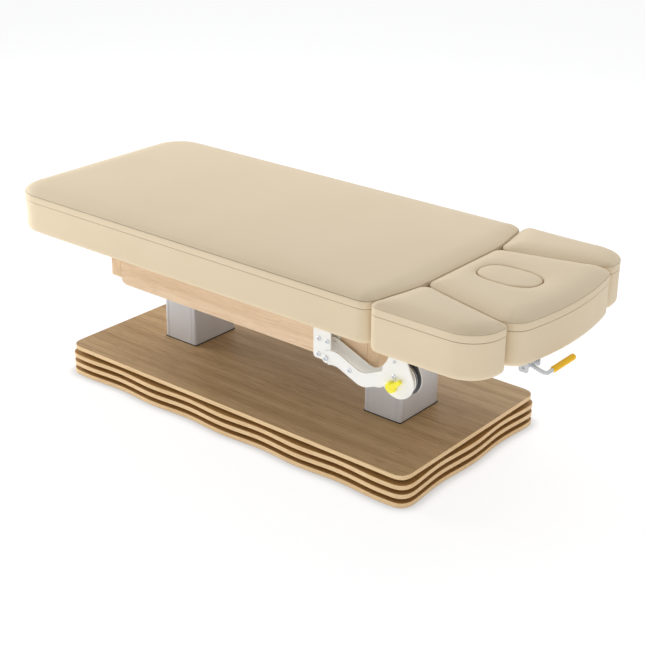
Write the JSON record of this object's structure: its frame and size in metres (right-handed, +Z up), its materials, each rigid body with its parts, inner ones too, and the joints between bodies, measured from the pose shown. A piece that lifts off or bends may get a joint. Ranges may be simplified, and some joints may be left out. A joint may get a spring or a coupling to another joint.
{
  "type": "electric spa bed",
  "caption": "Electric spa bed on a layered wood base with lift columns, a flat beige cushion, a tilting head cushion with a plugged face hole, and drop-down armrests.",
  "frame": {"origin": "on the floor, under the middle of the bounding box", "axes": "+X towards the head end, -Y the left side of a person lying on the back, +Z up"},
  "size_m": [1.973, 0.822, 0.6485],
  "materials": {
    "leatherette": "satin beige leatherette, a coated fabric over foam",
    "oak": "clear matt oak veneer",
    "dark_oak": "grey-brown stained matt oak veneer",
    "board_edge": "pale oiled wood edge",
    "shadow_board": "dark brown stained board",
    "satin_aluminium": "satin anodised",
    "white_paint": "satin white powder coat",
    "plain_steel": "zinc plated",
    "dark_plastic": "matte black",
    "yellow_plastic": "satin yellow",
    "amber_plastic": "satin amber yellow",
    "plywood": "raw plywood",
    "rubber": "matte black"
  },
  "bodies": {
    "base": {"base_top_board": "dark_oak", "base_wave_board_1": "board_edge", "base_wave_board_2": "board_edge", "base_wave_board_3": "board_edge", "base_spacer_1": "shadow_board", "base_spacer_2": "shadow_board", "base_spacer_3": "shadow_board", "base_glide_head_left": "rubber", "base_glide_head_right": "rubber", "base_glide_foot_left": "rubber", "base_glide_foot_right": "rubber", "column_foot_outer": "satin_aluminium", "column_head_outer": "satin_aluminium", "lift_screw_foot": "plain_steel", "lift_screw_head": "plain_steel"},
    "column_foot_stage": {"column_foot_middle": "satin_aluminium"},
    "column_head_stage": {"column_head_middle": "satin_aluminium"},
    "deck": {"column_foot_inner": "satin_aluminium", "column_head_inner": "satin_aluminium", "column_foot_cap": "plain_steel", "column_head_cap": "plain_steel", "lift_motor_foot": "dark_plastic", "lift_motor_head": "dark_plastic", "apron_rail_left": "oak", "apron_rail_right": "oak", "apron_beam_foot": "oak", "apron_beam_head": "oak", "bearer_foot": "plain_steel", "bearer_head": "plain_steel", "control_box": "dark_plastic", "mains_inlet": "rubber", "main_board": "plywood", "main_cushion": "leatherette", "head_hinge_shaft": "plain_steel", "hinge_bracket_left": "white_paint", "hinge_bracket_right": "white_paint", "gas_spring_body": "dark_plastic", "arm_mount_left": "white_paint", "arm_mount_right": "white_paint"},
    "head_section": {"head_cushion": "leatherette", "head_board": "plywood", "head_frame": "white_paint", "lever_bracket": "white_paint"},
    "face_plug": {"face_hole_plug": "leatherette"},
    "spring_rod": {"gas_spring_rod": "plain_steel"},
    "lever": {"release_lever": "plain_steel", "lever_grip": "amber_plastic"},
    "arm_left_lower_link": {"arm_lower_link_left": "white_paint"},
    "arm_left_upper_link": {"arm_upper_link_left": "white_paint"},
    "armrest_left": {"arm_fork_left": "white_paint", "arm_board_left": "plywood", "arm_cushion_left": "leatherette"},
    "arm_left_knob": {"arm_clamp_knob_left": "yellow_plastic"},
    "arm_right_lower_link": {"arm_lower_link_right": "white_paint"},
    "arm_right_upper_link": {"arm_upper_link_right": "white_paint"},
    "armrest_right": {"arm_fork_right": "white_paint", "arm_board_right": "plywood", "arm_cushion_right": "leatherette"},
    "arm_right_knob": {"arm_clamp_knob_right": "yellow_plastic"}
  },
  "joints": [
    {"name": "lift", "type": "slide", "parent": "base", "child": "deck", "axis": [0, 0, 1], "range_m": [0, 0.26]},
    {"name": "foot_stage_slide", "type": "slide", "parent": "base", "child": "column_foot_stage", "axis": [0, 0, 1], "range_m": [0, 0.131]},
    {"name": "head_stage_slide", "type": "slide", "parent": "base", "child": "column_head_stage", "axis": [0, 0, 1], "range_m": [0, 0.131]},
    {"name": "head_tilt", "type": "hinge", "parent": "deck", "child": "head_section", "pos_m": [0.5885, 0, 0.488], "axis": [0, 1, 0], "range_deg": [0, 30]},
    {"name": "gas_spring_slide", "type": "slide", "parent": "deck", "child": "spring_rod", "axis": [1, 0, 0], "range_m": [-0.0385, 0]},
    {"name": "face_plug_lift", "type": "slide", "parent": "head_section", "child": "face_plug", "axis": [0, 0, 1], "range_m": [0, 0.15]},
    {"name": "release_lever_pull", "type": "hinge", "parent": "head_section", "child": "lever", "pos_m": [0.9255, -0.17, 0.484], "axis": [0, -1, 0], "range_deg": [0, 12], "stiffness_Nm_per_rad": 2, "springref_deg": -8.59},
    {"name": "arm_left_drop", "type": "hinge", "parent": "deck", "child": "arm_left_lower_link", "pos_m": [0.3835, -0.3829, 0.413], "axis": [0, 1, 0], "range_deg": [0, 14.5]},
    {"name": "arm_left_level", "type": "hinge", "parent": "arm_left_lower_link", "child": "armrest_left", "pos_m": [0.6295, -0.3829, 0.433], "axis": [0, 1, 0], "range_deg": [-14.51, 0]},
    {"name": "arm_left_upper_swing", "type": "hinge", "parent": "deck", "child": "arm_left_upper_link", "pos_m": [0.3835, -0.3438, 0.446], "axis": [0, 1, 0], "range_deg": [0, 14.51]},
    {"name": "arm_left_knob_turn", "type": "hinge", "parent": "armrest_left", "child": "arm_left_knob", "pos_m": [0.6245, -0.397, 0.402], "axis": [0, -1, 0], "range_deg": [0, 90]},
    {"name": "arm_right_drop", "type": "hinge", "parent": "deck", "child": "arm_right_lower_link", "pos_m": [0.3835, 0.3829, 0.413], "axis": [0, 1, 0], "range_deg": [0, 14.5]},
    {"name": "arm_right_level", "type": "hinge", "parent": "arm_right_lower_link", "child": "armrest_right", "pos_m": [0.6295, 0.3829, 0.433], "axis": [0, 1, 0], "range_deg": [-14.51, 0]},
    {"name": "arm_right_upper_swing", "type": "hinge", "parent": "deck", "child": "arm_right_upper_link", "pos_m": [0.3835, 0.3438, 0.446], "axis": [0, 1, 0], "range_deg": [0, 14.51]},
    {"name": "arm_right_knob_turn", "type": "hinge", "parent": "armrest_right", "child": "arm_right_knob", "pos_m": [0.6245, 0.397, 0.402], "axis": [0, 1, 0], "range_deg": [0, 90]}
  ],
  "couplings": [
    {"joint": "foot_stage_slide", "follows": "lift", "ratio": 0.5},
    {"joint": "head_stage_slide", "follows": "lift", "ratio": 0.5},
    {"joint": "gas_spring_slide", "follows": "head_tilt", "m_per_rad": -0.073158},
    {"joint": "arm_left_level", "follows": "arm_left_drop", "ratio": -1},
    {"joint": "arm_left_upper_swing", "follows": "arm_left_drop", "ratio": 1},
    {"joint": "arm_right_level", "follows": "arm_right_drop", "ratio": -1},
    {"joint": "arm_right_upper_swing", "follows": "arm_right_drop", "ratio": 1}
  ]
}
